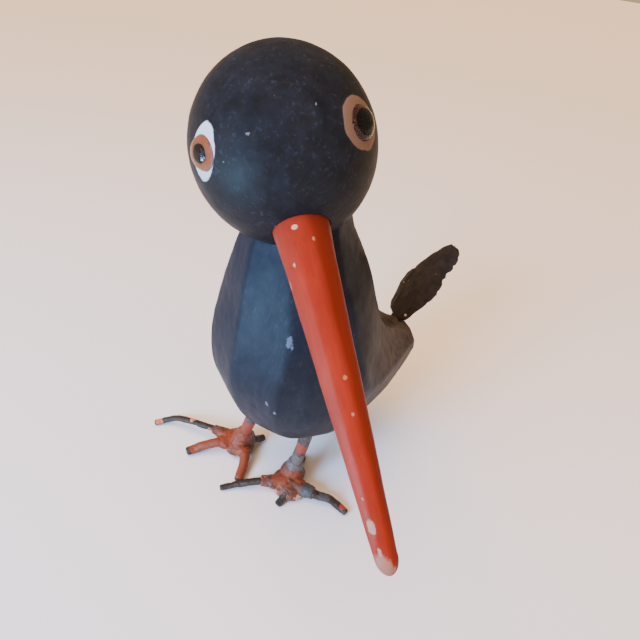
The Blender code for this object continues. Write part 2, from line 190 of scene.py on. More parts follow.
def blend_through(stations, t):
    """Values at each t on smooth curves through rows of (t, value, ...)."""
    t = np.asarray(t, float)
    k = np.clip(np.searchsorted(stations[:, 0], t, side="left") - 1, 0, len(stations) - 2)
    before, a = stations[np.maximum(k - 1, 0)], stations[k]
    b, after = stations[k + 1], stations[np.minimum(k + 2, len(stations) - 1)]
    step = (b[:, 0] - a[:, 0])[:, None]
    u = (t[:, None] - a[:, :1]) / step
    slope_a = (b - before) / (b[:, :1] - before[:, :1]) * step
    slope_b = (after - a) / (after[:, :1] - a[:, :1]) * step
    value = a * (2 * u**3 - 3 * u**2 + 1) + slope_a * (u**3 - 2 * u**2 + u)
    value += b * (3 * u**2 - 2 * u**3) + slope_b * (u**3 - u**2)
    return value[:, 1:]


def path_through(points, spacing):
    """Evenly fine points on a smooth curve through the given ones."""
    p = [Vector(q) for q in points]
    p = [p[0] * 2 - p[1], *p, p[-1] * 2 - p[-2]]
    path = []
    for p0, p1, p2, p3 in zip(p, p[1:], p[2:], p[3:]):
        steps = max(2, round((p2 - p1).length / spacing))
        for k in range(steps):
            u = k / steps
            path.append(0.5 * (2 * p1 + (p2 - p0) * u + (2 * p0 - 5 * p1 + 4 * p2 - p3) * u**2
                               + (3 * p1 - p0 - 3 * p2 + p3) * u**3))
    path.append(p[-2])
    return path


def skin(rings):
    """A closed mesh over rings of points, with a point in the middle of each end."""
    rings = np.asarray(rings, float)
    rows, sides, _ = rings.shape
    points = np.vstack((rings.reshape(-1, 3), rings[0].mean(0), rings[-1].mean(0)))
    first, last = rows * sides, rows * sides + 1
    faces = []
    for i in range(sides):
        j = (i + 1) % sides
        faces.append((first, j, i))
        faces.append((last, (rows - 1) * sides + i, (rows - 1) * sides + j))
        for r in range(rows - 1):
            faces.append((r * sides + i, r * sides + j, (r + 1) * sides + j, (r + 1) * sides + i))
    return points, faces


def tube_rings(path, radii, sides, start=UP):
    """Rings square to a path."""
    side = Vector(start)
    rings = []
    for k, centre in enumerate(path):
        along = (path[min(k + 1, len(path) - 1)] - path[max(k - 1, 0)]).normalized()
        side = (side - along * side.dot(along)).normalized()
        other = along.cross(side)
        ring = []
        for i in range(sides):
            turn = math.tau * i / sides
            radius = radii[k][i] if np.ndim(radii[k]) else radii[k]
            ring.append(centre + (side * math.cos(turn) + other * math.sin(turn)) * radius)
        rings.append(ring)
    return np.array(rings)


def turned(profile, sides=64):
    """A closed solid turned about Z. The profile is (radius, height) pairs, bottom to top."""
    turns = np.linspace(0, math.tau, sides, endpoint=False)
    return skin([np.stack((r * np.cos(turns), r * np.sin(turns), np.full(sides, h)), 1) for r, h in profile])


def pointing(direction, at=Vector()):
    """A frame whose Z points along direction."""
    turn = UP.rotation_difference(Vector(direction).normalized())
    return Matrix.Translation(at) @ turn.to_matrix().to_4x4()


def moved(points, matrix):
    m = np.array(matrix)
    return np.asarray(points) @ m[:3, :3].T + m[:3, 3]


def new_object(name, points, faces, matrix):
    """An object with its mesh in the row frame."""
    mesh = bpy.data.meshes.new(name)
    mesh.from_pydata(moved(points, matrix).tolist(), [], faces)
    mesh.update()
    bm = bmesh.new()
    bm.from_mesh(mesh)
    bmesh.ops.recalc_face_normals(bm, faces=bm.faces)
    bm.to_mesh(mesh)
    bm.free()
    obj = bpy.data.objects.new(name, mesh)
    bpy.context.scene.collection.objects.link(obj)
    return obj


def apply_modifiers(obj):
    done = bpy.data.meshes.new_from_object(obj.evaluated_get(bpy.context.evaluated_depsgraph_get()))
    obj.modifiers.clear()
    old = obj.data
    obj.data = done
    bpy.data.meshes.remove(old)
    done.name = obj.name


def cut(obj, *cutters):
    """Cuts closed shapes, each (points, faces) and its frame, out of an object."""
    tools = []
    for k, ((points, faces), matrix) in enumerate(cutters):
        tool = new_object(f"tool_{k}", points, faces, matrix)
        tools.append(tool)
        modifier = obj.modifiers.new("cut", "BOOLEAN")
        modifier.operation = "DIFFERENCE"
        modifier.solver = "EXACT"
        modifier.object = tool
    apply_modifiers(obj)
    for tool in tools:
        bpy.data.objects.remove(tool, do_unlink=True)


def read(items, name, width=3):
    """One value of a mesh's points, a row for each point."""
    values = np.zeros(len(items) * width, np.float32)
    items.foreach_get(name, values)
    return values.reshape(-1, width)


def finish(obj, body, nodes, material, matrix, patches=(), sharp=38):
    """Gives a finished mesh its place, its paint patches and its material.

    matrix takes millimetres in the piece's own frame to the row frame. A patch is (centre, radius, colour),
    or (centre, radius, colour, stretch) where stretch squeezes the distance along each of the frame's axes.
    """
    mesh = obj.data
    place = moved(read(mesh.vertices, "co"), matrix.inverted())
    attribute = mesh.attributes.new("place", "FLOAT_VECTOR", "POINT")
    attribute.data.foreach_set("vector", place.astype(np.float32).ravel())
    colour = np.zeros((len(place), 4), np.float32)
    nearest = np.full(len(place), 9.0)
    for patch in patches:
        centre, radius, rgb = patch[:3]
        stretch = np.array(patch[3]) if len(patch) > 3 else 1.0
        distance = np.linalg.norm((place - np.array(centre)) * stretch, axis=1) / radius
        closer = distance < nearest
        nearest[closer] = distance[closer]
        colour[closer, :3] = rgb
    colour[:, 3] = np.clip(1.5 - nearest, 0, 1)
    mesh.attributes.new("patch", "FLOAT_COLOR", "POINT").data.foreach_set("color", colour.ravel())
    mesh.materials.clear()
    mesh.materials.append(material)
    mesh.shade_smooth()
    mesh.set_sharp_from_angle(angle=math.radians(sharp))
    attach(obj, body)
    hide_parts(*nodes)
    return obj


# ---------------------------------------------------------------- materials

class Paint:
    """Builds one material from the piece's own millimetre coordinates and its painted patches."""

    def __init__(self, name):
        self.material = bpy.data.materials.new(name)
        self.material.use_nodes = True
        self.tree = self.material.node_tree
        self.shader = self.tree.nodes["Principled BSDF"]
        self.place = self.attribute("place").outputs["Vector"]

    def node(self, kind, inputs=(), **settings):
        node = self.tree.nodes.new(kind)
        for key, value in settings.items():
            setattr(node, key, value)
        for key, value in dict(inputs).items():
            if isinstance(value, bpy.types.NodeSocket):
                self.tree.links.new(value, node.inputs[key])
            else:
                node.inputs[key].default_value = value
        return node

    def attribute(self, name):
        return self.node("ShaderNodeAttribute", attribute_name=name)

    def noise(self, size, detail=3.0, distortion=0.0, stretch=None, rough=0.55):
        """Noise with features about size millimetres across, longer where stretch is below 1."""
        at = self.place
        if stretch:
            at = self.node("ShaderNodeVectorMath", {0: at, 1: stretch}, operation="MULTIPLY").outputs[0]
        return self.node("ShaderNodeTexNoise", {"Vector": at, "Scale": 1 / size, "Detail": detail,
                                                "Roughness": rough, "Distortion": distortion}).outputs["Fac"]

    def specks(self, spacing, size):
        """Round dots about size millimetres across, on a random few of the cells."""
        cells = self.node("ShaderNodeTexVoronoi", {"Vector": self.place, "Scale": 1 / spacing})
        dot = self.step(cells.outputs["Distance"], size / spacing * 0.5, size / spacing * 0.35)
        chance = self.node("ShaderNodeSeparateColor", {0: cells.outputs["Color"]}).outputs[0]
        some = self.step(chance, 0.72, 0.74)
        return self.math("MULTIPLY", dot, some)

    def math(self, operation, a, b=0.0):
        return self.node("ShaderNodeMath", {0: a, 1: b}, operation=operation).outputs[0]

    def step(self, value, low, high, to_low=0.0, to_high=1.0):
        return self.node("ShaderNodeMapRange", {"Value": value, "From Min": low, "From Max": high,
                                                "To Min": to_low, "To Max": to_high}).outputs[0]

    def mix(self, factor, a, b, blend="MIX"):
        node = self.node("ShaderNodeMix", {"Factor": factor}, data_type="RGBA", blend_type=blend)
        for socket, value in ((node.inputs[6], a), (node.inputs[7], b)):
            if isinstance(value, bpy.types.NodeSocket):
                self.tree.links.new(value, socket)
            else:
                socket.default_value = (*value, 1.0)
        return node.outputs[2]

    def patches(self, raggedness=0.5, size=1.2, softness=0.06):
        """(mask, colour) of the piece's patches, with ragged edges."""
        patch = self.attribute("patch")
        edge = self.math("MULTIPLY", self.math("SUBTRACT", self.noise(size, 4.0), 0.5), raggedness)
        mask = self.step(self.math("ADD", patch.outputs["Alpha"], edge), 0.5 - softness, 0.5 + softness)
        return mask, patch.outputs["Color"]

    def bump(self, height, distance, strength=1.0, under=None):
        inputs = {"Height": height, "Distance": distance * MM, "Strength": strength}
        if under:
            inputs["Normal"] = under
        return self.node("ShaderNodeBump", inputs).outputs[0]

    def done(self, colour, roughness, normal=None, **values):
        self.tree.links.new(colour, self.shader.inputs["Base Color"])
        if isinstance(roughness, bpy.types.NodeSocket):
            self.tree.links.new(roughness, self.shader.inputs["Roughness"])
        else:
            self.shader.inputs["Roughness"].default_value = roughness
        if normal:
            self.tree.links.new(normal, self.shader.inputs["Normal"])
        for key, value in values.items():
            socket = self.shader.inputs[key.replace("_", " ")]
            if isinstance(value, bpy.types.NodeSocket):
                self.tree.links.new(value, socket)
            else:
                socket.default_value = value
        return self.material


def dark_paint(name, grain, ragged=0.5, wear_and_aft_light=False):
    """Satin dark paint over wood: brush marks, dust, scuffs. Worn paint is bluer and rubbed low, and browner
    aft, where the brown is painted warm light from behind.
    """
    p = Paint(name)
    blotch = p.noise(9.0, 4.0, 0.6)
    brush = p.noise(1.3, 4.0, 0.3, grain)
    if wear_and_aft_light:
        colour = p.mix(p.step(blotch, 0.3, 0.7), (0.009, 0.0125, 0.02), (0.014, 0.0185, 0.027))
    else:
        colour = p.mix(p.step(blotch, 0.3, 0.7), (0.0085, 0.0085, 0.009), (0.014, 0.0135, 0.0135))
    colour = p.mix(p.step(brush, 0.35, 0.75, 0.0, 0.5), colour, (0.018, 0.021, 0.028))
    scratch = p.noise(0.45, 3.0, 0.2, grain)
    colour = p.mix(p.math("MULTIPLY", p.step(scratch, 0.56, 0.7), p.step(blotch, 0.4, 0.62)), colour,
                   (0.024, 0.029, 0.04))
    if wear_and_aft_light:
        split = p.node("ShaderNodeSeparateXYZ", {0: p.place})
        ragged_z = p.math("ADD", split.outputs[2], p.math("MULTIPLY", p.noise(6.0, 5.0), 24.0))
        streaks = p.step(p.noise(1.6, 5.0, 0.4, grain), 0.3, 0.7)
        rubbed = p.math("MULTIPLY", p.step(ragged_z, 84.0, 58.0), streaks)
        colour = p.mix(p.math("MULTIPLY", rubbed, 0.7), colour, (0.034, 0.037, 0.044))
        # Browner towards the tail stub: painted warm light from behind.
        stub_warm_light = p.step(split.outputs[1], 12.0, 40.0, 0.0, 0.9)
        colour = p.mix(p.math("MULTIPLY", stub_warm_light, p.step(brush, 0.25, 0.7)), colour, (0.085, 0.062, 0.05))
    dust = p.math("MULTIPLY", p.step(p.noise(2.2, 6.0, 0.0, None, 0.7), 0.58, 0.74), 0.22)
    colour = p.mix(dust, colour, (0.05, 0.05, 0.052))
    dots = p.math("MULTIPLY", p.specks(6.5, 0.5), 0.6)
    colour = p.mix(dots, colour, (0.13, 0.13, 0.13))
    mask, patch = p.patches(ragged, 0.6, 0.1)
    colour = p.mix(mask, colour, patch)
    rough = p.step(p.noise(4.0, 5.0, 0.4, grain), 0.25, 0.75, 0.4, 0.55)
    normal = p.bump(brush, 0.06)
    normal = p.bump(scratch, 0.03, 1.0, normal)
    normal = p.bump(mask, 0.08, 0.7, normal)
    return p.done(colour, rough, normal, Specular_IOR_Level=0.06)


def bill_paint():
    """Brushed orange-red paint, chipped to the ground coat, and browner along the bird's left side."""
    p = Paint("bill_paint")
    blotch = p.noise(6.0, 4.0, 0.5, (1.0, 1.0, 0.35))
    brush = p.noise(0.7, 4.0, 0.2, (1.0, 1.0, 0.12))
    colour = p.mix(p.step(blotch, 0.3, 0.7), (0.21, 0.0165, 0.006), (0.28, 0.025, 0.01))
    split = p.node("ShaderNodeSeparateXYZ", {0: p.place})
    side = p.math("ADD", split.outputs[0], p.math("MULTIPLY", p.math("SUBTRACT", brush, 0.5), 1.6))
    colour = p.mix(p.step(side, 0.4, 2.4, 0.0, 0.75), colour, (0.12, 0.013, 0.005))
    colour = p.mix(p.step(brush, 0.5, 0.8, 0.0, 0.4), colour, (0.2, 0.016, 0.006))
    grime = p.step(p.noise(1.6, 6.0, 0.0, (1.0, 1.0, 0.5), 0.7), 0.6, 0.74, 0.0, 0.35)
    colour = p.mix(grime, colour, (0.09, 0.02, 0.012))
    dots = p.math("MULTIPLY", p.specks(4.2, 0.45), 0.45)
    colour = p.mix(dots, colour, (0.4, 0.15, 0.09))
    mask, patch = p.patches(0.6, 0.7, 0.14)
    tone = p.mix(p.step(p.noise(0.6, 4.0), 0.35, 0.7, 0.0, 0.5), patch, (0.24, 0.13, 0.085))
    colour = p.mix(mask, colour, tone)
    rough = p.step(p.noise(2.5, 5.0), 0.25, 0.75, 0.42, 0.6)
    normal = p.bump(brush, 0.07)
    normal = p.bump(p.noise(0.4, 3.0), 0.02, 1.0, normal)
    normal = p.bump(p.math("SUBTRACT", 1.0, mask), 0.12, 0.9, normal)
    return p.done(colour, rough, normal, Specular_IOR_Level=0.12)


def rough_metal(name, colour_a, colour_b, metallic=0.25):
    """Pitted wire or solder with old paint in patches."""
    p = Paint(name)
    colour = p.mix(p.step(p.noise(1.6, 5.0, 0.8), 0.35, 0.68), colour_a, colour_b)
    grit = p.noise(0.45, 5.0, 0.3, None, 0.7)
    mask, patch = p.patches(0.9, 0.9, 0.08)
    tone = p.mix(p.step(p.noise(0.8, 4.0), 0.3, 0.75, 0.0, 0.45), patch, (0.07, 0.017, 0.008))
    colour = p.mix(mask, colour, tone)
    pits = p.step(grit, 0.56, 0.72, 0.0, 0.8)
    colour = p.mix(pits, colour, (0.02, 0.012, 0.009))
    bright = p.math("MULTIPLY", p.specks(2.4, 0.35), 0.6)
    colour = p.mix(bright, colour, (0.3, 0.24, 0.19))
    rough = p.step(grit, 0.3, 0.7, 0.42, 0.78)
    normal = p.bump(p.noise(1.1, 3.0), 0.16)
    normal = p.bump(grit, 0.1, 1.0, normal)
    normal = p.bump(mask, 0.1, 0.8, normal)
    metal = p.math("MULTIPLY", p.math("SUBTRACT", 1.0, mask), metallic)
    return p.done(colour, rough, normal, Metallic=metal)


def tail_skin():
    p = Paint("tail_skin")
    ribs = p.noise(0.8, 4.0, 0.6, (1.0, 0.16, 1.0))
    colour = p.mix(p.step(p.noise(3.0, 5.0, 0.8), 0.35, 0.7), (0.013, 0.011, 0.01), (0.026, 0.021, 0.018))
    colour = p.mix(p.step(ribs, 0.55, 0.8, 0.0, 0.5), colour, (0.04, 0.032, 0.027))
    dots = p.math("MULTIPLY", p.specks(2.6, 0.3), 0.8)
    colour = p.mix(dots, colour, (0.28, 0.25, 0.22))
    mask, patch = p.patches(0.5, 0.6)
    colour = p.mix(mask, colour, patch)
    normal = p.bump(ribs, 0.1)
    normal = p.bump(p.noise(0.5, 4.0), 0.05, 1.0, normal)
    return p.done(colour, p.step(ribs, 0.3, 0.7, 0.5, 0.75), normal, Specular_IOR_Level=0.35)


def bare_wood():
    p = Paint("bare_wood")
    grain = p.noise(0.7, 5.0, 0.4, (1.0, 1.0, 0.08))
    colour = p.mix(p.step(grain, 0.3, 0.7), (0.45, 0.29, 0.15), (0.62, 0.44, 0.26))
    return p.done(colour, 0.7, p.bump(grain, 0.05))


def clear_glass():
    p = Paint("clear_glass")
    colour = p.mix(p.step(p.noise(2.0), 0.3, 0.7), (1.0, 1.0, 1.0), (0.96, 0.97, 0.98))
    return p.done(colour, p.step(p.noise(1.2), 0.3, 0.7, 0.01, 0.05), None, Transmission_Weight=1.0, IOR=1.22)


def iris_enamel(name, inner, outer):
    """Streaks that run out from the pupil."""
    p = Paint(name)
    split = p.node("ShaderNodeSeparateXYZ", {0: p.place})
    turn = p.math("ARCTAN2", split.outputs[1], split.outputs[0])
    squares = [p.math("POWER", split.outputs[k], 2.0) for k in (0, 1)]
    reach = p.math("SQRT", p.math("ADD", *squares))
    at = p.node("ShaderNodeCombineXYZ", {0: p.math("MULTIPLY", turn, 5.0), 1: p.math("MULTIPLY", reach, 0.5)})
    streak = p.node("ShaderNodeTexNoise", {"Vector": at.outputs[0], "Scale": 1.6, "Detail": 4.0})
    streak = streak.outputs["Fac"]
    colour = p.mix(p.step(reach, 1.2, 2.9), inner, outer)
    colour = p.mix(p.step(streak, 0.4, 0.75, 0.0, 0.6), colour, tuple(0.4 * c for c in outer))
    return p.done(colour, p.step(streak, 0.3, 0.7, 0.25, 0.4), p.bump(streak, 0.04))


def black_enamel():
    p = Paint("black_enamel")
    colour = p.mix(p.noise(1.0), (0.002, 0.002, 0.003), (0.006, 0.005, 0.005))
    return p.done(colour, p.step(p.noise(0.8), 0.3, 0.7, 0.1, 0.18), None, Specular_IOR_Level=0.1)


def drawn_wire():
    p = Paint("drawn_wire")
    marks = p.noise(0.2, 3.0, 0.0, (1.0, 1.0, 0.1))
    colour = p.mix(marks, (0.35, 0.35, 0.34), (0.5, 0.5, 0.48))
    return p.done(colour, p.step(marks, 0.3, 0.7, 0.3, 0.5), p.bump(marks, 0.02), Metallic=1.0)


# ---------------------------------------------------------------- head

def bill_direction():
    return Vector((0, -math.cos(BILL_DROOP), -math.sin(BILL_DROOP)))


def eye_direction(name):
    spread, rise = (math.radians(a) for a in EYE_ANGLES[name])
    up = Vector((0, -math.sin(BILL_DROOP), math.cos(BILL_DROOP)))
    level = bill_direction() * math.cos(spread) + Vector((math.sin(spread), 0, 0))
    return level * math.cos(rise) + up * math.sin(rise)


def ball_shape(grow, rows=130, sides=200):
    rings = []
    for k in range(rows):
        rise = math.pi * (k + 0.5) / rows
        turns = np.linspace(0, math.tau, sides, endpoint=False)
        radius = (BALL_RADIUS + grow) * math.sin(rise)
        height = -(BALL_RADIUS + grow) * math.cos(rise) * BALL_STRETCH
        rings.append(np.stack((radius * np.cos(turns), radius * np.sin(turns), np.full(sides, height)), 1))
    return skin(rings)


HEAD_SPECKS = (
    ((-1.0, -14.1, 17.5), 0.4, (0.17, 0.16, 0.16)),
    ((6.7, -15.5, 14.9), 0.45, (0.13, 0.13, 0.13)),
    ((-7.6, -16.9, 12.7), 0.5, (0.13, 0.12, 0.13)),
    ((-6.8, -20.2, -7.2), 0.35, (0.12, 0.14, 0.17)),
    ((-2.6, -3.0, 22.1), 0.6, (0.09, 0.085, 0.08), (1.0, 0.5, 1.0)),
    ((-4.4, -5.6, 21.2), 0.35, (0.12, 0.11, 0.1)),
    ((12.0, 14.0, 12.0), 0.7, (0.13, 0.12, 0.11)),
    ((-14.0, 12.0, 10.0), 0.5, (0.13, 0.12, 0.11)),
)

# Each painted ring round an eye: (centre moved level and up, outer radius level and up, colour).
RINGS = {
    # The left ring's colour is the white ring paint in painted shade.
    "left": ((0.0, -0.1), (5.5, 6.1), RING_WHITE_IN_PAINTED_SHADE),
    "right": ((-0.2, 0.0), (3.9, 6.3), RING_WHITE),
}


RING_TURN = {"left": 0, "right": 30}     # degrees about the eye, from level with the bill


def ring_mask(place, name, shift, reach):
    """Above a half inside a hand-painted spot round an eye, below it outside."""
    eye = eye_direction(name)
    level = (bill_direction() - eye * bill_direction().dot(eye)).normalized()
    level = Matrix.Rotation(math.radians(RING_TURN[name]), 3, eye) @ level
    out = place / np.linalg.norm(place, axis=1)[:, None] * BALL_RADIUS
    offset = out - np.array(eye * BALL_RADIUS)
    along = (offset @ np.array(level) - shift[0]) / reach[0]
    above = (offset @ np.array(eye.cross(level)) - shift[1]) / reach[1]
    distance = np.hypot(along, above) + wobble(out, 2.6, 3 + reach[0], 3) * 0.055
    facing = out @ np.array(eye) > 0
    return np.where(facing, np.clip(0.5 + (1 - distance) * reach[0] / 1.2, 0, 1), 0)


def build_head(materials):
    points, faces = ball_shape(0.0)
    out = points / np.linalg.norm(points, axis=1)[:, None]
    points = points + out * (0.1 * wobble(points, 11.0, 1) + 0.035 * wobble(points, 3.0, 2))[:, None]
    near = np.linalg.norm(points, axis=1) < 30
    for name, (shift, reach, _) in RINGS.items():
        raised = np.clip((ring_mask(points, name, shift, reach) - 0.4) * 5, 0, 1)
        points[near] += out[near] * (raised[near] * 0.12)[:, None]
    head = new_object("head_ball_painted", points, faces, HEAD_FRAME)
    bill_hole = turned(((BILL_ROOT_RADIUS + 0.03, BILL_ROOT - 0.3), (BILL_ROOT_RADIUS + 0.03, 45)), 144)
    cutters = [
        (turned(((DOWEL_HOLE, -45), (DOWEL_HOLE, -10.7)), 40), HEAD_FRAME),
        (bill_hole, HEAD_FRAME @ pointing(bill_direction(), BILL_ASIDE)),
    ]
    for name in EYE_ANGLES:
        socket = turned(((EYE_RADIUS + 0.08, EYE_FLOOR - 0.2), (EYE_RADIUS + 0.08, 30)))
        cutters.append((socket, HEAD_FRAME @ pointing(eye_direction(name))))
    cut(head, *cutters)
    finish(head, "head", ["head_ball"], materials["head"], HEAD_FRAME, HEAD_SPECKS)
    mesh = head.data
    place = read(mesh.attributes["place"].data, "vector")
    colour = read(mesh.attributes["patch"].data, "color", 4)
    for name, (shift, reach, rgb) in RINGS.items():
        mask = ring_mask(place, name, shift, reach)
        here = mask > 0
        colour[here, :3] = rgb
        colour[here, 3] = mask[here]
    mesh.attributes["patch"].data.foreach_set("color", colour.ravel())


# Distance from the ball's centre, degrees round from the top to the bird's left, size, colour, length.
BILL_CHIPS = (
    (23.6, -16, 0.72, (0.62, 0.4, 0.25), 1.15),
    (27.2, 14, 0.4, (0.42, 0.12, 0.05), 0.6),
    (31.5, -40, 0.5, CREAM, 0.7),
    (34.8, -76, 0.8, (0.5, 0.13, 0.03), 0.8),
    (39.2, 36, 0.3, (0.42, 0.12, 0.05), 0.8),
    (57.5, 9, 0.6, (0.42, 0.13, 0.03), 1.0),
    (65.0, 6, 0.45, (0.36, 0.13, 0.08), 0.8),
    (73.2, 0, 0.3, (0.36, 0.13, 0.08), 0.8),
    (81.0, -36, 0.4, (0.36, 0.13, 0.08), 0.8),
    (86.4, -34, 0.9, (0.36, 0.2, 0.13), 0.6),
    (91.2, -28, 0.5, (0.36, 0.2, 0.15), 0.5),
    (94.6, -40, 2.4, (0.3, 0.12, 0.07), 0.8),
    (95.6, 30, 1.2, (0.32, 0.2, 0.12), 0.9),
    (48.0, 170, 0.8, CREAM, 0.5),
    (70.0, 130, 0.6, (0.7, 0.3, 0.18), 0.6),
    (62.0, -120, 0.7, CREAM, 0.6),
    (84.0, 110, 0.8, (0.66, 0.34, 0.24), 0.5),
    (36.0, 110, 0.5, (0.66, 0.3, 0.2), 0.6),
)


def bill_radius(along):
    share = (along - BILL_ROOT) / (BILL_TIP - BILL_TIP_ROUND - BILL_ROOT)
    return BILL_ROOT_RADIUS + (BILL_TIP_RADIUS - BILL_ROOT_RADIUS) * min(max(share, 0), 1)


def build_bill(materials):
    """A hand-shaved taper, a little flat along eight sides, with a worn round tip."""
    sides = 72
    turns = np.linspace(0, math.tau, sides, endpoint=False)
    edges = np.radians((-158, -112, -66, -24, 19, 62, 108, 152, 202))
    flat = np.ones(sides)
    for a, b in zip(edges, edges[1:]):
        middle, reach = (a + b) / 2, (b - a) / 2
        offset = (turns - middle + math.pi) % math.tau - math.pi
        inside = np.abs(offset) <= reach
        flat[inside] = math.cos(reach) / np.cos(offset[inside])
    heights = list(np.arange(BILL_ROOT, BILL_TIP - BILL_TIP_ROUND, 0.45))
    rings = []
    for h in heights:
        share = (h - BILL_ROOT) / (BILL_TIP - BILL_ROOT)
        blend = (0.85 - 0.4 * share) * min(1.0, (h - BILL_ROOT) / 12)
        radius = bill_radius(h) * (1 - blend + blend * (0.35 + 0.65 * flat))
        rings.append(np.stack((radius * np.sin(turns), radius * np.cos(turns), np.full(sides, h)), 1))
    for degrees in range(6, 88, 7):
        angle = math.radians(degrees)
        radius = BILL_TIP_RADIUS * math.cos(angle)
        height = BILL_TIP - BILL_TIP_ROUND + BILL_TIP_ROUND * math.sin(angle)
        rings.append(np.stack((radius * np.sin(turns), radius * np.cos(turns), np.full(sides, height)), 1))
    points, faces = skin(rings)
    out = points * (1, 1, 0)
    out = out / np.maximum(np.linalg.norm(out, axis=1), 0.2)[:, None]
    relief = (0.09 * wobble(points * (1, 1, 0.3), 3.0, 5) - 0.05) * np.clip((points[:, 2] - 22) / 6, 0, 1)
    patches = []
    for along, around, size, colour, length in BILL_CHIPS:
        turn = math.radians(around)
        radius = bill_radius(along)
        centre = np.array((radius * math.sin(turn), radius * math.cos(turn), along))
        distance = np.linalg.norm((points - centre) * (1, 1, length), axis=1)
        relief -= 0.12 * np.clip(1.6 - distance / size, 0, 1)
        patches.append((centre, size, colour, (1, 1, length)))
    points = points + out * relief[:, None]
    # X is the bird's left, Y is up and Z runs out along the bill.
    up = Vector((0, -math.sin(BILL_DROOP), math.cos(BILL_DROOP)))
    turn = Matrix((Vector((1, 0, 0)), up, bill_direction())).transposed().to_4x4()
    matrix = HEAD_FRAME @ Matrix.Translation(BILL_ASIDE) @ turn
    bill = new_object("bill_painted", points, faces, matrix)
    finish(bill, "head", ["bill"], materials["bill"], matrix, patches, 60)


def build_eye(name, materials):
    """A solid glass lens moulded over a coloured dish with a black pupil, on a wire shank."""
    matrix = HEAD_FRAME @ pointing(eye_direction(name))
    rim = BALL_RADIUS - 0.3
    height = EYE_BULGE + 0.3
    lens = [(EYE_RADIUS - 0.25, EYE_FLOOR), (EYE_RADIUS, EYE_FLOOR + 0.2)]
    for angle in np.radians(np.linspace(0, 87, 22)):
        lens.append((EYE_RADIUS * math.cos(angle), rim + height * math.sin(angle)))
    glass = new_object(name + "_eye_lens", *turned(lens, 72), matrix)
    finish(glass, "head", [name + "_eye_glass"], materials["glass"], matrix)
    reach = EYE_RADIUS - 0.06
    dish = [(reach - 0.3, EYE_FLOOR + 0.05), (reach, rim - 0.5), (reach, rim + 0.05)]
    dish += [(reach * math.cos(angle), rim + 0.05 + 0.8 * math.sin(angle))
             for angle in np.radians(range(10, 90, 8))]
    iris = new_object(name + "_eye_iris_dish", *turned(dish, 72), matrix)
    finish(iris, "head", [name + "_eye_iris"], materials[name + "_iris"], matrix)
    size = PUPIL_SIZE[name]
    edge = math.acos(size / reach)
    spot = [(size * 0.9, rim - 0.2)]
    for angle in np.linspace(edge, math.radians(88), 10):
        spot.append((reach * math.cos(angle), rim + 0.1 + 0.82 * math.sin(angle)))
    pupil = new_object(name + "_eye_pupil_spot", *turned(spot, 48), matrix)
    finish(pupil, "head", [name + "_eye_pupil"], materials["pupil"], matrix)
    shank = turned(((0.35, EYE_FLOOR - 7.2), (0.5, EYE_FLOOR - 7.0), (0.5, EYE_FLOOR - 0.3)), 20)
    shank = new_object(name + "_eye_wire", *shank, matrix)
    finish(shank, "head", [name + "_eye_shank"], materials["wire"], matrix)


# ---------------------------------------------------------------- body and tail

def fan_point(degrees, turns):
    """Points of the smooth body at one slice, for an array of turns in degrees."""
    to_back, to_belly, half_width = blend_through(BODY_RINGS, [degrees])[0]
    angle = math.radians(degrees)
    reach = (to_back + to_belly) / 2 + (to_belly - to_back) / 2 * np.cos(np.radians(turns))
    return BODY_PIVOT + np.stack((half_width * np.sin(np.radians(turns)), reach * math.cos(angle),
                                  reach * math.sin(angle)), 1)


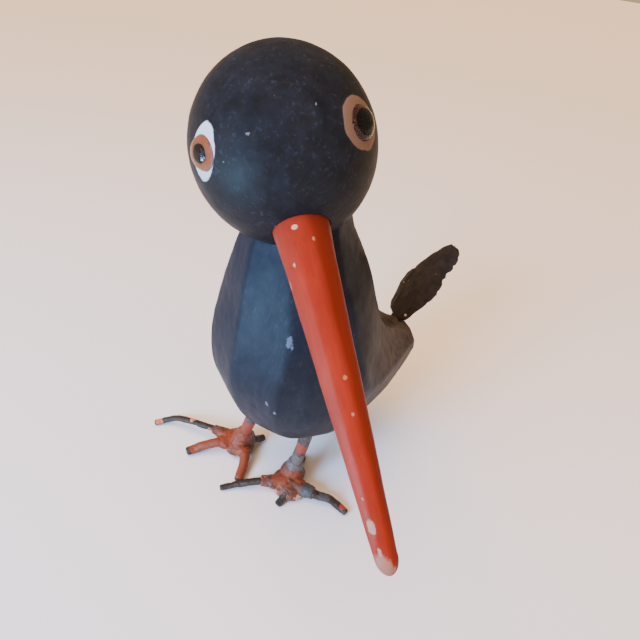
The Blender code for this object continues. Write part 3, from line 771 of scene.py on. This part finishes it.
def build_body(materials):
    rows, sides = 230, 216
    turns = np.linspace(0, 360, sides, endpoint=False)
    rings = []
    for degrees in np.linspace(BODY_RINGS[0, 0], BODY_RINGS[-1, 0], rows):
        smooth = fan_point(degrees, turns)
        edges = blend_through(np.column_stack((EDGE_SLICES, np.array(EDGES).T)), [degrees])[0]
        edges = np.append(edges, edges[0] + 360)
        corners = fan_point(degrees, edges)
        middle = smooth.mean(0)
        near = math.exp(-((degrees - 220) / 13.0) ** 2)
        for k, push in ((GROOVE, -GROOVE_DEPTH), (RIDGE, RIDGE_HEIGHT)):
            out = corners[k] - middle
            corners[k] += out / np.linalg.norm(out) * push * near
        ring = smooth.copy()
        for k, flatness in enumerate(EDGE_FLATNESS):
            share = (turns - edges[k]) % 360 / (edges[k + 1] - edges[k])
            inside = share < 1
            part = share[inside][:, None]
            chord = corners[k] * (1 - part) + corners[k + 1] * part
            if k in (GROOVE - 1, GROOVE):
                flatness += (1 - flatness) * near
            ring[inside] = smooth[inside] * (1 - flatness) + chord * flatness
        for _ in range(3):
            ring = ring / 2 + (np.roll(ring, 1, 0) + np.roll(ring, -1, 0)) / 4
        rings.append(ring)
    rings = np.array(rings)
    along = np.gradient(rings, axis=0)
    around = np.roll(rings, -1, 1) - np.roll(rings, 1, 1)
    out = np.cross(along, around)
    out /= np.linalg.norm(out, axis=2)[:, :, None]
    if ((rings - rings.mean(1, keepdims=True)) * out).sum() < 0:
        out = -out
    flat = rings.reshape(-1, 3)
    relief = 0.16 * wobble(flat, 9.0, 7) + 0.05 * wobble(flat, 2.6, 8)
    rings = rings + out * relief.reshape(rows, sides)[:, :, None]
    body = new_object("body_carved", *skin(rings), BODY_FRAME)
    seat = BODY_FRAME @ Matrix.Translation(BALL_CENTRE) @ Matrix.Rotation(NECK_LEAN, 4, "X")
    cutters = [
        (ball_shape(0.12, 60, 96), seat),
        (turned(((DOWEL_HOLE, -37), (DOWEL_HOLE, 0)), 40), seat),
    ]
    for foot in FEET.values():
        top, bottom = (Vector(p) for p in foot["leg"])
        hole = turned(((LEG_RADIUS + 0.1, 0), (LEG_RADIUS + 0.1, (top - bottom).length + 0.3)), 40)
        cutters.append((hole, BODY_FRAME @ pointing(top - bottom, bottom)))
    box = np.array([(x, y, z) for z in (-1, 1) for y in (-1, 1) for x in (-1, 1)]) * (2.8, 8.2, 1.0)
    sides_of_box = [(0, 1, 3, 2), (4, 6, 7, 5), (0, 4, 5, 1), (2, 3, 7, 6), (0, 2, 6, 4), (1, 5, 7, 3)]
    cutters.append(((box, sides_of_box), tail_frame()))
    cut(body, *cutters)
    patches = (
        ((19.8, -9.5, 81.0), 0.9, SCUFF, (1.3, 1, 0.42)), ((20.6, -8.9, 79.4), 0.45, SCUFF, (1, 1, 0.6)),
        ((22.5, -7.0, 49.9), 0.8, SCUFF),
        ((26.2, -1.2, 53.2), 0.5, SCUFF, (0.5, 0.5, 1.4)),
        ((26.8, -1.0, 63.7), 0.45, SCUFF),
        ((18.4, -14.1, 57.6), 0.5, (0.14, 0.16, 0.2), (1, 1, 0.35)),
        ((20.2, -12.0, 55.0), 0.4, (0.14, 0.16, 0.2), (1, 1, 0.35)),
        ((-20.0, -14.0, 60.0), 0.8, SCUFF, (1, 1, 0.5)),
        ((-22.0, 4.0, 84.0), 0.6, SCUFF),
        ((4.0, 39.0, 67.5), 0.9, (0.1, 0.08, 0.07)),
        ((-4.6, 49.0, 58.6), 0.6, PALE, (1, 0.6, 1)),
        ((4.4, 49.6, 58.3), 0.55, PALE, (1, 0.6, 1)),
    )
    finish(body, "body", ["body"], materials["body"], BODY_FRAME, patches, 42)


def tail_frame():
    """X across the blade, Y along it, Z out of its upper face."""
    along = Vector((0, math.cos(TAIL_RISE), math.sin(TAIL_RISE)))
    across = Vector((1, 0, 0))
    turn = Matrix((across, along, across.cross(along))).transposed().to_4x4()
    return BODY_FRAME @ Matrix.Translation(TAIL_BASE) @ turn


TAIL_NICKS = (  # distance along the blade, which edge, depth, length
    (10.5, "left", 0.3, 0.8), (15.8, "left", 0.4, 0.9), (20.2, "left", 0.9, 1.2), (22.8, "left", 1.1, 1.4),
    (26.4, "left", 0.6, 0.8), (29.8, "left", 0.7, 0.7), (17.8, "right", 0.55, 0.9),
)


def build_tail(materials):
    """A stiff, slightly cupped blade with nicked edges, torn off unevenly at its tip."""
    rng = random.Random(4)
    stations = TAIL_STATIONS
    lengths = np.concatenate((np.linspace(-7.5, 0.4, 16, endpoint=False), np.linspace(0.4, 32.0, 140)))
    across = np.linspace(0, 1, 41)
    upper, lower = [], []
    for s in lengths:
        left, right = (np.interp(s, stations[:, 0], stations[:, k]) for k in (1, 2))
        free = min(1.0, max(0.0, (s - 0.4) / 2))
        for at, edge, depth, length in TAIL_NICKS:
            bite = depth * max(0.0, 1 - abs(s - at) / length) ** 0.7
            if edge == "left":
                left -= bite
            else:
                right += bite
        left += free * (0.5 + 0.15 * noise.noise(Vector((s * 0.7, 0.4, 1.0))))
        right -= free * (1.1 - 0.03 * s + 0.1 * noise.noise(Vector((s * 0.5, 3.4, 1.0))))
        x = left + (right - left) * across
        u = across * 2 - 1
        tip = max(0.0, (s - 20) / 12)
        half = (0.8 if s < 0.4 else 0.78 - 0.36 * tip) * (1 - 0.8 * np.abs(u) ** 6)
        bend = free * (-0.9 * u**2 * min(1, (s + 2) / 10) + 1.1 * tip**2 + 0.3 * math.sin(s / 7))
        ripple = [noise.fractal(Vector((a / 2.4, s / 9.0, 2.0)), 1.0, 2.0, 3) for a in x]
        ripple = np.array(ripple) * 0.3 * free
        row = np.stack((x, np.full(len(x), s), bend + ripple), 1)
        if s > 27:
            torn = [noise.noise(Vector((a * 0.9, 0.3, 4.0))) + 0.5 * noise.noise(Vector((a * 3.1, 7.0, 1.0)))
                    for a in x]
            row[:, 1] += np.array(torn) * (s - 27) / 5 * 0.7
        upper.append(row + np.stack((0 * x, 0 * x, half), 1))
        lower.append((row - np.stack((0 * x, 0 * x, half), 1))[::-1])
    points, faces = skin([np.vstack((a, b)) for a, b in zip(upper, lower)])
    for _ in range(5):
        x = rng.uniform(-0.5, 2.2)
        at = Vector((x, rng.uniform(29.0, 30.2), rng.uniform(0.5, 1.0)))
        lean = Vector((rng.uniform(-0.8, 0.1), 1.0, rng.uniform(-0.4, 0.3))).normalized()
        length = rng.uniform(0.8, 1.6)
        path = [at + lean * length * i / 4 for i in range(5)]
        more, more_faces = skin(tube_rings(path, [0.22, 0.2, 0.16, 0.11, 0.04], 6, Vector((0.3, 0.2, 1))))
        faces += [tuple(i + len(points) for i in face) for face in more_faces]
        points = np.vstack((points, more))
    patches = (
        ((-6.6, 11.0, 0.8), 0.3, PALE), ((-5.4, 12.6, 0.8), 0.28, PALE),
        ((-6.0, 22.0, 0.9), 0.3, (0.1, 0.08, 0.06)),
        ((-2.2, 13.0, 0.8), 0.25, (0.1, 0.08, 0.06)), ((2.6, 20.5, 0.8), 0.35, (0.06, 0.05, 0.045)),
        ((3.2, 2.0, 0.8), 0.5, PALE),
    )
    tail = new_object("tail_blade", points, faces, tail_frame())
    finish(tail, "body", ["tail_feather"], materials["tail"], tail_frame(), patches, 50)


# ---------------------------------------------------------------- legs and feet

# The peach patches are partly flaking paint and partly painted highlight on the lumps' lit front and lower
# edges.
PATCHES = {
    "right": (
        ((-20.5, -15.6, 4.6), 2.3, PEACH_FLAKE_AND_HIGHLIGHT), ((-17.0, -14.6, 3.6), 1.5, PEACH_FLAKE_AND_HIGHLIGHT),
        ((-8.0, -10.6, 2.4), 1.3, PEACH_FLAKE_AND_HIGHLIGHT), ((-11.4, -12.4, 2.2), 1.7, PEACH_FLAKE_AND_HIGHLIGHT),
        ((-6.2, -10.2, 3.0), 1.0, PEACH_FLAKE_AND_HIGHLIGHT), ((-12.0, -8.0, 6.0), 5.4, ORANGE),
        ((-13.0, -15.5, 5.0), 5.0, ORANGE), ((-16.2, -21.4, 3.6), 4.6, ORANGE),
        ((-3.4, -9.4, 4.6), 4.0, ORANGE), ((0.6, -12.0, 3.4), 3.8, ORANGE),
        ((-9.8, -5.9, 13.0), 5.6, ORANGE), ((-8.0, -6.0, 19.0), 6.0, RED_ORANGE),
        ((-27.6, -20.4, 6.6), 1.3, (0.62, 0.24, 0.1)), ((-36.8, -31.4, 1.6), 1.7, (0.6, 0.2, 0.09)),
    ),
    "left": (
        ((8.6, -6.4, 3.2), 3.0, PEACH_FLAKE_AND_HIGHLIGHT), ((11.4, -4.6, 2.2), 3.1, PEACH_FLAKE_AND_HIGHLIGHT), ((14.8, -3.8, 2.2), 2.3, PEACH_FLAKE_AND_HIGHLIGHT),
        ((19.6, 1.2, 2.8), 1.9, (0.85, 0.4, 0.26)), ((12.6, -1.6, 6.6), 3.4, ORANGE),
        ((13.6, 3.2, 8.4), 2.6, ORANGE), ((17.0, 4.6, 6.4), 2.4, ORANGE),
        ((20.9, 5.0, 5.2), 3.0, GREEN_METAL), ((12.4, 5.2, 22.0), 3.2, RED_ORANGE),
        ((12.2, 5.2, 13.5), 5.2, GREY_METAL), ((11.9, 3.6, 9.2), 1.0, (0.5, 0.36, 0.16)),
        ((25.6, 9.4, 4.9), 2.4, GREEN_METAL), ((31.4, 14.4, 3.0), 1.3, RED_ORANGE),
        ((32.8, 14.4, 1.8), 1.0, PEACH_FLAKE_AND_HIGHLIGHT),
    ),
}


def solder_lump(name, foot, materials):
    """Solder that has run together round the leg and along each toe, with grit and lifted flakes."""
    centre = Vector(foot["lump"][0])
    core = centre + Vector((0, 0, 0.9))
    shapes = []
    ball = bmesh.new()
    bmesh.ops.create_icosphere(ball, subdivisions=4, radius=1.0)
    points = np.array([v.co for v in ball.verts]) * foot["lump"][1] + np.array(centre)
    shapes.append((points, [tuple(v.index for v in f.verts) for f in ball.faces]))
    ball.free()
    for points, root_radius, _, covered in foot["toes"].values():
        path = path_through(points, 0.5)
        reach = 0.0
        end = path[0]
        for a, b in zip(path, path[1:]):
            reach += (b - a).length
            end = b
            if reach >= covered:
                break
        line = [core.lerp(end, k / 5) for k in range(6)]
        shapes.append(skin(tube_rings(line, list(np.linspace(3.7, root_radius + 0.3, 6)), 20)))
    top, bottom = (Vector(p) for p in foot["leg"])
    line = [bottom + (top - bottom).normalized() * (k - 3) for k in range(9)]
    flare = np.array((2.6, 2.4, 2.0, 1.6, 1.25, 0.95, 0.7, 0.5, 0.35))
    shapes.append(skin(tube_rings(line, list(LEG_RADIUS + flare), 24, Vector((1, 0, 0)))))
    points, faces = np.zeros((0, 3)), []
    for more, more_faces in shapes:
        faces += [tuple(i + len(points) for i in face) for face in more_faces]
        points = np.vstack((points, more))
    lump = new_object(name + "_foot_solder", points, faces, BODY_FRAME)
    remesh = lump.modifiers.new("run_together", "REMESH")
    remesh.mode = "VOXEL"
    remesh.voxel_size = 0.34 * MM
    soften = lump.modifiers.new("soften", "SMOOTH")
    soften.factor = 0.5
    soften.iterations = 6
    apply_modifiers(lump)
    mesh = lump.data
    normal = read(mesh.vertices, "normal")
    place = moved(read(mesh.vertices, "co"), BODY_FRAME.inverted())
    rough = 0.42 * wobble(place, 3.4, 11) + 0.2 * np.maximum(wobble(place, 0.9, 12), 0)
    for patch in PATCHES[name]:
        if patch[2][0] > 0.8:       # the peach paint, which stands proud in flakes and whose colour is partly painted highlight
            distance = np.linalg.norm(place - np.array(patch[0]), axis=1) / patch[1]
            rough += 0.4 * np.clip((1.2 - distance) * 4, 0, 1) * (0.6 + 0.4 * wobble(place, 0.8, 13))
    place = place + normal * rough[:, None]
    place[:, 2] = np.maximum(place[:, 2], LOWEST)
    mesh.vertices.foreach_set("co", moved(place, BODY_FRAME).astype(np.float32).ravel())
    mesh.update()
    finish(lump, "body", [name + "_foot_joint"], materials["solder"], BODY_FRAME, PATCHES[name], 80)


def ring_points(path, rings):
    """All the points of a tube's rings, and the way out from its path at each one."""
    flat = rings.reshape(-1, 3)
    centres = np.repeat(np.array(path), rings.shape[1], 0)
    return flat, (flat - centres) / np.linalg.norm(flat - centres, axis=1)[:, None]


def build_leg(name, foot, materials):
    """Straight wire with a rough skin, which smooths out where it enters the body."""
    top, bottom = (Vector(p) for p in foot["leg"])
    steps = 90
    path = [top.lerp(bottom - (top - bottom).normalized() * 1.5, k / steps) for k in range(steps + 1)]
    rings = tube_rings(path, [LEG_RADIUS - 0.08] * len(path), 40, Vector((1, 0, 0)))
    flat, out = ring_points(path, rings)
    inside = np.clip((np.array([p.z for p in path]) - 24) / 8, 0, 1)
    relief = (0.14 * wobble(flat, 3.0, 21) + 0.07 * wobble(flat, 1.0, 22)) * np.repeat(1 - inside, 40)
    rings = (flat + out * relief[:, None]).reshape(rings.shape)
    leg = new_object(name + "_leg_wire", *skin(rings), BODY_FRAME)
    finish(leg, "body", [name + "_leg"], materials["leg"], BODY_FRAME, PATCHES[name], 60)


def build_toe(name, toe, points, root_radius, tip_radius, materials):
    """Rough bent wire, chopped off at its end, with the foot's patches of old paint and painted highlight."""
    sides = 30
    seed = 30 + 4 * (name == "left") + ("outer", "middle", "inner", "hind").index(toe)
    path = path_through(points, 0.28)
    last = len(path) - 1
    radii = []
    for k in range(last + 1):
        share = k / last
        radius = root_radius + (tip_radius - root_radius) * share
        left = (1 - share) * sum((b - a).length for a, b in zip(path, path[1:]))
        if left < 0.9:
            radius *= 0.66 + 0.34 * math.sqrt(1 - (1 - left / 0.9) ** 2)
        radii.append(radius)
    rings = tube_rings(path, radii, sides)
    flat, out = ring_points(path, rings)
    relief = 0.16 * wobble(flat, 2.2, seed) + 0.1 * wobble(flat, 0.7, seed + 20) - 0.08
    flat = flat + out * relief[:, None]
    flat[:, 2] = np.maximum(flat[:, 2], LOWEST)
    obj = new_object(f"{name}_{toe}_toe_wire", *skin(flat.reshape(rings.shape)), BODY_FRAME)
    finish(obj, "body", [f"{name}_{toe}_toe"], materials["toe"], BODY_FRAME, PATCHES[name], 70)


# ---------------------------------------------------------------- stage

def aimed_lamp(name, lamp, direction, colour):
    """Puts a lamp in the scene, aimed from this azimuth and rise in degrees. Also gives the way out to it."""
    lamp.color = colour
    obj = bpy.data.objects.new(name, lamp)
    bpy.context.scene.collection.objects.link(obj)
    azimuth, rise = (math.radians(a) for a in direction)
    level = math.cos(rise)
    out = Vector((math.cos(azimuth) * level, math.sin(azimuth) * level, math.sin(rise)))
    obj.rotation_mode = "QUATERNION"
    obj.rotation_quaternion = out.to_track_quat("Z", "Y")
    return obj, out


def area_light(name, direction, distance, size, power, colour, target, seen_in):
    """A square panel that only gives soft light ("matt"), or that only shows in reflections ("gloss")."""
    lamp = bpy.data.lights.new(name, "AREA")
    lamp.size = size
    lamp.energy = power
    obj, out = aimed_lamp(name, lamp, direction, colour)
    obj.location = target + out * distance
    obj.visible_camera = False
    obj.visible_diffuse = seen_in == "matt"
    obj.visible_glossy = seen_in == "gloss"


def build_stage():
    corners = [(x * FLOOR_REACH, y * FLOOR_REACH, 0) for x, y in ((-1, -1), (1, -1), (1, 1), (-1, 1))]
    floor = new_object("floor", corners, [(0, 1, 2, 3)], Matrix.Scale(MM, 4))
    floor.location.z = -0.00005     # a hair below the feet, so that nothing lies in its plane
    material = bpy.data.materials.new("floor_paper")
    material.use_nodes = True
    shader = material.node_tree.nodes["Principled BSDF"]
    shader.inputs["Base Color"].default_value = (0.85, 0.845, 0.84, 1)
    shader.inputs["Roughness"].default_value = 0.75
    shader.inputs["Specular IOR Level"].default_value = 0.0
    floor.data.materials.append(material)
    world = bpy.data.worlds.new("room")
    world.use_nodes = True
    world.node_tree.nodes["Background"].inputs["Color"].default_value = (1.0, 0.7, 0.46, 1)
    world.node_tree.nodes["Background"].inputs["Strength"].default_value = 0.6
    bpy.context.scene.world = world
    target = Vector((BALL.x, BALL.y, 0.05))
    area_light("window", (-72, 31), 0.6, 0.22, 9.0, (0.31, 0.56, 1.0), target, "matt")
    area_light("floor_glow", (-79, -19), 0.24, 0.11, 1.35, (0.3, 0.62, 1.0), BALL, "gloss")
    area_light("right_eye_glint", (-82, -21), 0.26, 0.03, 0.22, (0.5, 0.8, 1.0), BALL, "gloss")
    area_light("window_gloss", (-80, 12), 0.5, 0.3, 1.15, (0.35, 0.62, 1.0), target, "gloss")
    lamp = bpy.data.lights.new("room_lamp", "SUN")
    lamp.energy = 4.6
    lamp.angle = math.radians(45)
    obj, _ = aimed_lamp("room_lamp", lamp, (-100, 74), (1.0, 0.62, 0.36))
    obj.visible_glossy = False


def build_camera():
    """Held close above the bird's left front, rolled a little, with the head high and left in the frame."""
    azimuth, fall, roll = math.radians(54), math.radians(38), math.radians(7)
    across = Vector((math.cos(azimuth), math.sin(azimuth), 0))
    away = Vector((-math.sin(azimuth), math.cos(azimuth), 0))
    forward = away * math.cos(fall) - UP * math.sin(fall)
    level_up = away * math.sin(fall) + UP * math.cos(fall)
    right = across * math.cos(roll) + level_up * math.sin(roll)
    up = level_up * math.cos(roll) - across * math.sin(roll)
    data = bpy.data.cameras.new("camera")
    data.sensor_width = 36
    data.lens = 27.56
    data.clip_start = 0.004
    data.clip_end = 100
    camera = bpy.data.objects.new("camera", data)
    bpy.context.scene.collection.objects.link(camera)
    # The camera was set out for an upright bird, which then leans forward by this much with the camera.
    lean = Matrix.Rotation(math.radians(2), 4, "X")
    turn = Matrix((right, up, -forward)).transposed().to_4x4()
    from_ball = Vector((102.9, -59.4, 39.0)) * MM
    camera.matrix_world = Matrix.Translation(BALL + from_ball) @ lean @ turn
    bpy.context.scene.camera = camera


def main():
    along_body = (1.0, 0.35, 0.22)
    materials = {
        "head": dark_paint("head_paint", (0.5, 0.5, 0.5), 0.24),
        "body": dark_paint("body_paint", along_body, 1.3, wear_and_aft_light=True),
        "bill": bill_paint(),
        "glass": clear_glass(),
        "left_iris": iris_enamel("garnet_iris", (0.01, 0.002, 0.002), (0.035, 0.003, 0.003)),
        "right_iris": iris_enamel("amber_iris", (0.09, 0.015, 0.003), (0.22, 0.045, 0.007)),
        "pupil": black_enamel(),
        "wire": drawn_wire(),
        "tail": tail_skin(),
        "solder": rough_metal("gritty_solder", (0.17, 0.046, 0.018), (0.05, 0.02, 0.012), 0.05),
        "leg": rough_metal("painted_leg", DARK_METAL, GREY_METAL, 0.4),
        "toe": rough_metal("dark_toe", DARK_METAL, (0.055, 0.032, 0.022), 0.25),
    }
    build_stage()
    build_camera()
    build_head(materials)
    build_bill(materials)
    for name in EYE_ANGLES:
        build_eye(name, materials)
    build_body(materials)
    build_tail(materials)
    for name, foot in FEET.items():
        solder_lump(name, foot, materials)
        build_leg(name, foot, materials)
        for toe, (points, root_radius, tip_radius, _) in foot["toes"].items():
            build_toe(name, toe, points, root_radius, tip_radius, materials)
    dowel = frame["nodes"]["neck_dowel"]
    dowel.data.materials.clear()
    dowel.data.materials.append(bare_wood())


main()
